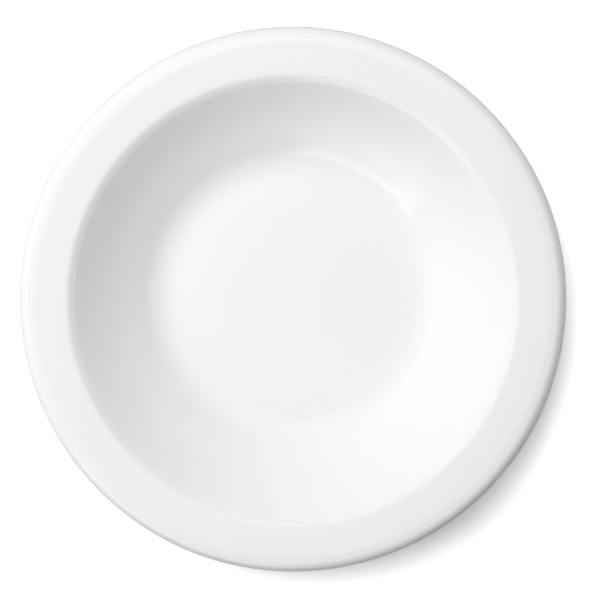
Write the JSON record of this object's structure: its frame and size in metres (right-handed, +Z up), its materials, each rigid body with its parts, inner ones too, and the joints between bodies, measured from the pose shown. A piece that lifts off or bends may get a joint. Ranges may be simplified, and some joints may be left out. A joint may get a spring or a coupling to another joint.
{
  "type": "rimmed soup plate",
  "caption": "Round soup plate in white glazed porcelain: a deep well with a flat floor and a sloping wall, a rising rim with a rolled edge, and a foot ring.",
  "frame": {"origin": "on the plate's axis, in the plane of the table that the foot ring stands on", "axes": "+Z up along the plate's axis, out of the well; X and Y lie in the plane of the table, and the plate is the same all round"},
  "size_m": [0.23, 0.23, 0.04],
  "materials": {
    "bare_porcelain": "matte",
    "clear_glaze": "gloss"
  },
  "bodies": {
    "root": {"porcelain_body": "bare_porcelain", "glaze_coat": "clear_glaze", "base_glaze": "clear_glaze"}
  },
  "joints": []
}
